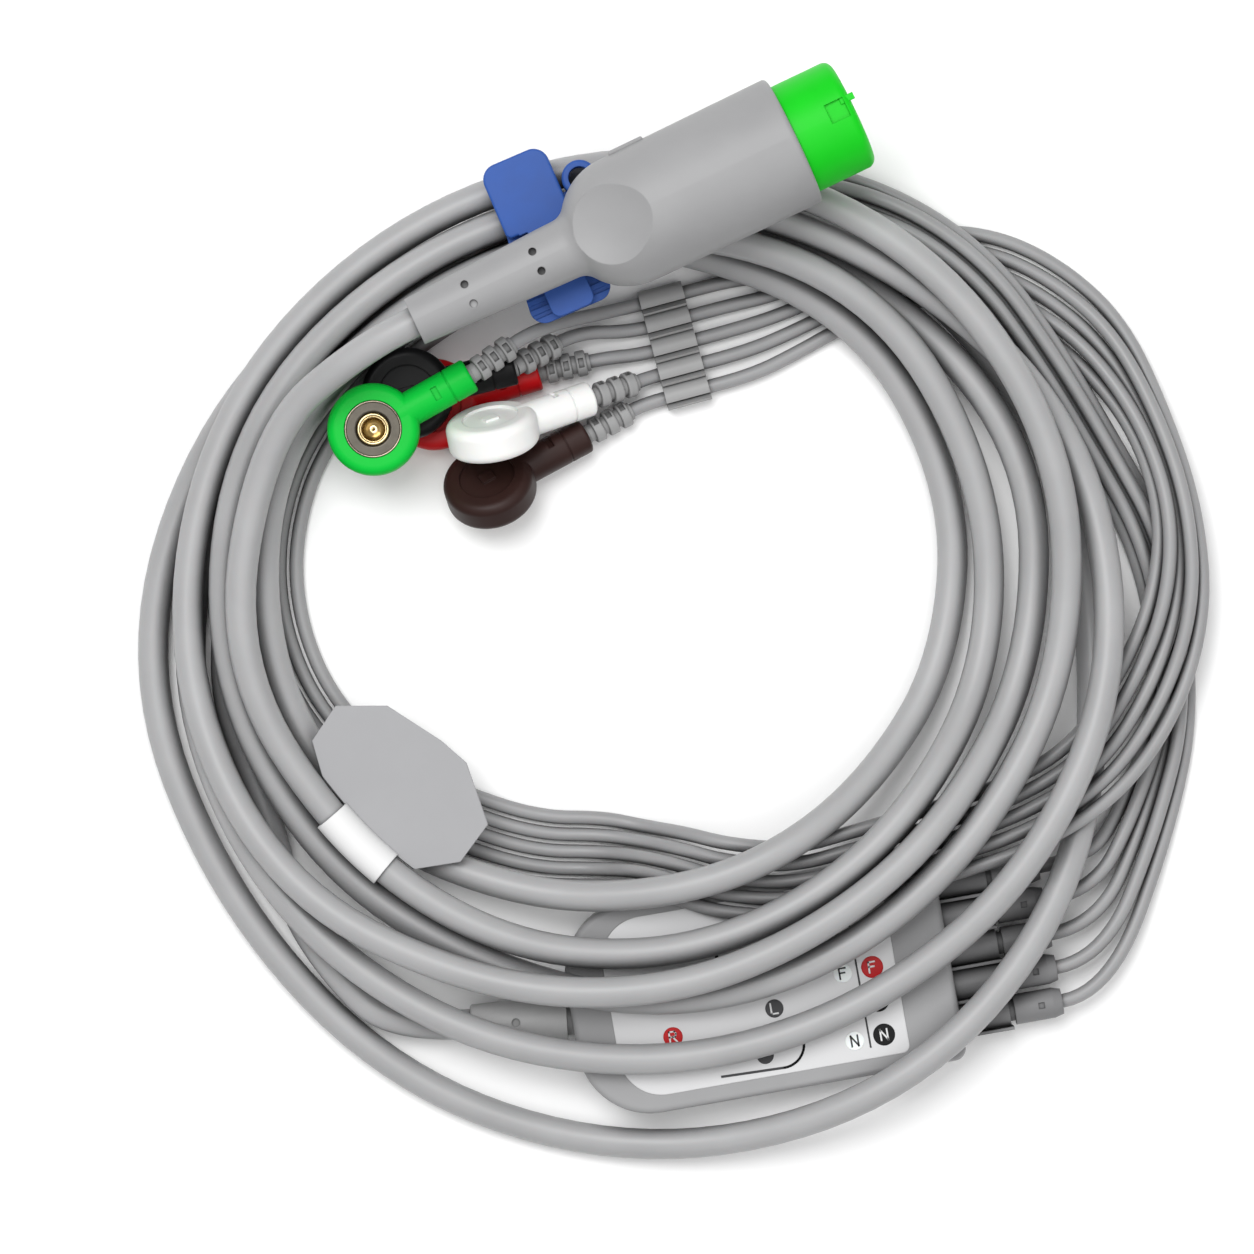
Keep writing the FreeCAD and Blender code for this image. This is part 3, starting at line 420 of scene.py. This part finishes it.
def dress(name, look):
    """Give a CAD node its finish."""
    data = nodes[name].data
    if len(data.materials) == 0:
        data.materials.append(look)
    for k in range(len(data.materials)):
        data.materials[k] = look


for name, look in looks.items():
    dress(name, look)

# Cords in place of their plain solids
trunk = cord("trunk_cord", trunk_points, trunk_d)
trunk.data.materials.append(jacket)
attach(trunk, "cable_set")
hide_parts("trunk_cable", "trunk_plug_run", "trunk_yoke_run")
for n, colour in enumerate(colours):
    points = lead_points(n - middle_lane, colour)
    lead = cord("lead_cord_" + colour, points, lead_d)
    lead.data.materials.append(lead_grey)
    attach(lead, "cable_set")
    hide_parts("lead_wire_" + colour)


def mesh_piece(name, corners, faces, look, body="cable_set"):
    """New piece of a body from corners in metres."""
    data = bpy.data.meshes.new(name)
    data.from_pydata(corners, [], faces)
    data.materials.append(look)
    piece = bpy.data.objects.new(name, data)
    scene.collection.objects.link(piece)
    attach(piece, body)
    return piece


# Comb: open channels side by side, each with a slit beside its top and a raised lip along the slit
comb_long = 7.4
comb_fit = 0.3
comb_wall = 0.6
lip_high = 0.6
lip_wide = 0.5
slit_at = 128.0
slit_half = 0.28
channel_r = lead_d / 2 + comb_fit
lane_r = channel_r + comb_wall
lip_r = lane_r + lip_high
top_steps = 14
channel_steps = 30
lip_steps = 2
valley_steps = 3
end_steps = 10
sharp_angle = 35


def arc(y, radius, first, last, steps):
    """Corners on a circle about a lead in the comb, from one angle to another in degrees."""
    corners = []
    for k in range(steps + 1):
        a = math.radians(first + (last - first) * k / steps)
        corners.append((y + radius * math.cos(a), comb_wire_z + radius * math.sin(a)))
    return corners


def comb_outline():
    """Section across the comb, from its last lane over the tops to its first; its underside is flat."""
    foot = math.degrees(math.asin(comb_wire_z / lane_r))
    valley = math.degrees(math.acos(comb_pitch / 2 / lane_r))
    inner = math.degrees(math.asin(slit_half / channel_r))
    outer = math.degrees(math.asin(slit_half / lane_r))
    lip_in = math.degrees(math.asin(slit_half / lip_r))
    lip_out = math.degrees(math.asin((slit_half + lip_wide) / lip_r))
    root = math.degrees(math.asin((slit_half + lip_wide) / lane_r))
    corners = []
    for lane in range(middle_lane, -middle_lane - 1, -1):
        y = lane * comb_pitch
        start = -foot if lane == middle_lane else valley
        corners += arc(y, lane_r, start, slit_at - outer, top_steps)
        corners += arc(y, channel_r, slit_at - inner, slit_at + inner - 360, channel_steps)
        corners += arc(y, lip_r, slit_at + lip_in, slit_at + lip_out, lip_steps)
        if lane == -middle_lane:
            corners += arc(y, lane_r, slit_at + root, 180 + foot, end_steps)
        else:
            corners += arc(y, lane_r, slit_at + root, 180 - valley, valley_steps)[:-1]
    return corners


section = comb_outline()
comb_corners = []
for x in (-comb_long / 2, comb_long / 2):
    for y, z in section:
        comb_corners.append(comb_frame @ point(x, y, z))
count = len(section)
comb_faces = [list(range(count)), [count + k for k in reversed(range(count))]]
for k in range(count):
    after = (k + 1) % count
    comb_faces.append([k, count + k, count + after, after])
comb = mesh_piece("comb_channels", comb_corners, comb_faces, comb_grey, "comb")
comb.data.shade_smooth()
comb.data.set_sharp_from_angle(angle=math.radians(sharp_angle))
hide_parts("lead_comb")

# Print on the yoke's label: paired dots beside the lead plugs, single dots, rules, a curve and a wave
label_top = 9.5
ink_thick = 0.05
mark_steps = 32
dot_x = 18.5
dot_r = 1.8
pair_x = 13.6
pair_r = 1.55
pair_drop = 0.2
dark_dot = (1.6, -3.9)
dark_dot_r = 1.5
low_dot = (-1.2, -11.2)
low_dot_r = 1.4
red_dot = (-15.5, -5.6)
red_dot_r = 1.6
long_rule = (-17.5, 9.2, 8.0, 9.2)
long_rule_wide = 0.35
cross_rule = (16.0, -12.8, 16.0, 12.8)
cross_rule_wide = 0.3
line_wide = 0.4
curve_start = (-8.7, -13.4)
curve_x = 1.6
curve_y = -9.9
curve_r = 3.8
curve_step = 7.5
curve_steps = 12


def ink(name, outlines, look, layer=0):
    """Thin flat marks on the label, from outlines in the plan of the yoke; layer 1 lies on layer 0."""
    corners = []
    faces = []
    for outline in outlines:
        first = len(corners)
        count = len(outline)
        for z in (label_top - ink_thick, label_top + ink_thick * (1 + layer)):
            for x, y in outline:
                corners.append(yoke_frame @ point(x, y, z))
        faces.append([first + count + k for k in range(count)])
        faces.append([first + k for k in reversed(range(count))])
        for k in range(count):
            after = (k + 1) % count
            faces.append([first + k, first + after, first + count + after, first + count + k])
    mesh_piece(name, corners, faces, look)


def round_mark(x, y, radius):
    """Outline of a dot."""
    steps = [2 * math.pi * k / mark_steps for k in range(mark_steps)]
    return [(x + radius * math.cos(a), y + radius * math.sin(a)) for a in steps]


def stroke(x0, y0, x1, y1, wide):
    """Outline of a straight stroke."""
    along = Vector((x1 - x0, y1 - y0)).normalized() * wide / 2
    across = Vector((-along.y, along.x))
    ends = [(x0, y0, -1, -1), (x1, y1, 1, -1), (x1, y1, 1, 1), (x0, y0, -1, 1)]
    return [(x + a * along.x + s * across.x, y + a * along.y + s * across.y) for x, y, a, s in ends]


dot_colours = ["brown", "white", "red", "black", "black"]
for n, colour in enumerate(dot_colours):
    dot_y = -(n - middle_lane) * plug_pitch
    ink("label_dot_%d" % n, [round_mark(dot_x, dot_y, dot_r)], snap_looks[colour])
    pair = round_mark(pair_x, dot_y - pair_drop, pair_r)
    ink("label_pair_%d" % n, [pair], snap_looks["white"])
plain_marks = [round_mark(*dark_dot, dark_dot_r), round_mark(*low_dot, low_dot_r),
               stroke(*long_rule, long_rule_wide), stroke(*cross_rule, cross_rule_wide)]
curve = [curve_start]
for k in range(curve_steps + 1):
    a = math.radians(-90 + curve_step * k)
    curve.append((curve_x + curve_r * math.cos(a), curve_y + curve_r * math.sin(a)))
wave = [(-16.0, 2.0), (-11.0, 2.0), (-9.8, 3.2), (-8.6, 2.0), (-7.2, 2.0), (-6.2, 6.4), (-5.0, -0.6),
        (-4.2, 2.0), (-2.2, 2.0), (-0.6, 3.6), (1.0, 2.0), (7.0, 2.0)]
for line in (curve, wave):
    for (x0, y0), (x1, y1) in zip(line, line[1:]):
        plain_marks.append(stroke(x0, y0, x1, y1, line_wide))
ink("label_marks", plain_marks, insert_dark)
ink("label_spot_red", [round_mark(*red_dot, red_dot_r)], snap_looks["red"])

# Letters on the dots: corners of the strokes of each letter, as shares of its height
letters = {
    "V": [[(0, 1), (0.35, 0), (0.7, 1)]],
    "R": [[(0, 0), (0, 1), (0.55, 1), (0.65, 0.75), (0.55, 0.5), (0, 0.5)], [(0.3, 0.5), (0.65, 0)]],
    "F": [[(0, 0), (0, 1), (0.6, 1)], [(0, 0.55), (0.5, 0.55)]],
    "L": [[(0, 1), (0, 0), (0.6, 0)]],
    "N": [[(0, 0), (0, 1), (0.65, 0), (0.65, 1)]],
}
letter_high = 1.7
letter_wide = 0.28
letter_middle_x = 0.33
letter_middle_y = 0.5
dot_letters = "VRFLN"


def letter_marks(letter, x, y):
    """Strokes of one plain letter about the middle of a dot."""
    marks = []
    for line in letters[letter]:
        corners = []
        for u, v in line:
            corners.append((x + (u - letter_middle_x) * letter_high, y + (v - letter_middle_y) * letter_high))
        for (x0, y0), (x1, y1) in zip(corners, corners[1:]):
            marks.append(stroke(x0, y0, x1, y1, letter_wide))
    return marks


pale_letters = letter_marks("L", *dark_dot) + letter_marks("R", *red_dot)
dark_letters = []
for n, letter in enumerate(dot_letters):
    dot_y = -(n - middle_lane) * plug_pitch
    dark_letters += letter_marks(letter, pair_x, dot_y - pair_drop)
    if dot_colours[n] == "white":
        dark_letters += letter_marks(letter, dot_x, dot_y)
    else:
        pale_letters += letter_marks(letter, dot_x, dot_y)
ink("label_letters_pale", pale_letters, tag_white, 1)
ink("label_letters_dark", dark_letters, insert_dark, 1)

# Snap heads: a rolled lip round each socket, a low boss in its bottom and a bright rim round the washer
stem_len = 18.0
boot_ribbed_len = 8.6
lathe_steps = 48
ring_sides = 16
lip_ring_r = 2.37
lip_ring_z = 2.32
lip_section_r = 0.28
rim_ring_r = 4.5
rim_ring_z = 2.5
rim_section_r = 0.22
well_profile = [(0.02, 0.45), (0.7, 0.35), (1.1, 0.1), (1.96, 0.1), (1.96, -0.05), (0.02, -0.05)]


def lathe(name, profile, place, look):
    """Closed ring turned about the local Z axis of a place from corners of radius and height."""
    corners = []
    faces = []
    count = len(profile)
    for k in range(lathe_steps):
        a = 2 * math.pi * k / lathe_steps
        for r, z in profile:
            corners.append(place @ point(r * math.cos(a), r * math.sin(a), z))
    for k in range(lathe_steps):
        after = (k + 1) % lathe_steps
        for i in range(count):
            j = (i + 1) % count
            faces.append([k * count + i, after * count + i, after * count + j, k * count + j])
    piece = mesh_piece(name, corners, faces, look)
    for face in piece.data.polygons:
        face.use_smooth = True


def ring_profile(radius, z, section_r):
    """Round section of a ring, at the ring's radius and height."""
    steps = [2 * math.pi * k / ring_sides for k in range(ring_sides)]
    return [(radius + section_r * math.cos(a), z + section_r * math.sin(a)) for a in steps]


lip_profile = ring_profile(lip_ring_r, lip_ring_z, lip_section_r)
rim_profile = ring_profile(rim_ring_r, rim_ring_z, rim_section_r)
for colour in colours:
    end, boot_turn, boot_pitch, turn, pitch, roll = snap_poses[colour]
    root = frame_at(end, boot_turn, boot_pitch) @ point(-boot_ribbed_len, 0, 0)
    head_frame = frame_at(frame_at(root, turn, pitch, roll) @ point(-stem_len, 0, 0), turn, pitch, roll)
    lathe("snap_lip_" + colour, lip_profile, head_frame, gold)
    lathe("snap_rim_" + colour, rim_profile, head_frame, rim_metal)
    lathe("snap_well_" + colour, well_profile, head_frame, gold)

# Floor, a little below the set; its size, like those of the lights, is in metres
half = 0.9
floor_drop = 0.0001
floor_corners = [(-half, -half, 0), (half, -half, 0), (half, half, 0), (-half, half, 0)]
floor_white = finish_material("floor_white", srgb(250, 250, 250), rough=0.7, vary=0.002, grain=0.0, edge=0.0)
floor_mesh = bpy.data.meshes.new("floor")
floor_mesh.from_pydata(floor_corners, [], [(0, 1, 2, 3)])
floor_mesh.materials.append(floor_white)
floor = bpy.data.objects.new("floor", floor_mesh)
floor.location.z = -floor_drop
scene.collection.objects.link(floor)

# Sky: dim at the horizon and bright overhead
sky_low = 0.2
sky_high = 0.8
world = bpy.data.worlds.new("studio")
world.use_nodes = True
sky = world.node_tree
direction = sky.nodes.new("ShaderNodeTexCoord")
split = sky.nodes.new("ShaderNodeSeparateXYZ")
sky.links.new(direction.outputs["Generated"], split.inputs["Vector"])
rise = sky.nodes.new("ShaderNodeMapRange")
rise.inputs["To Min"].default_value = sky_low
rise.inputs["To Max"].default_value = sky_high
sky.links.new(split.outputs["Z"], rise.inputs["Value"])
sky.nodes["Background"].inputs["Color"].default_value = (1.0, 1.0, 1.0, 1.0)
sky.links.new(rise.outputs["Result"], sky.nodes["Background"].inputs["Strength"])
scene.world = world


def softbox(name, place, size, power):
    """Square light that shines on the middle of the set and isn't seen itself."""
    data = bpy.data.lights.new(name, "AREA")
    data.shape = "SQUARE"
    data.size = size
    data.energy = power
    lamp = bpy.data.objects.new(name, data)
    lamp.location = place
    lamp.rotation_euler = (-Vector(place)).to_track_quat("-Z", "Y").to_euler()
    lamp.visible_camera = False
    scene.collection.objects.link(lamp)


softbox("key", (-0.24, 0.36, 1.08), 0.6, 9.0)
softbox("fill", (0.35, -0.2, 1.1), 0.9, 3.0)
scene.view_settings.view_transform = "Standard"

bpy.context.view_layer.update()
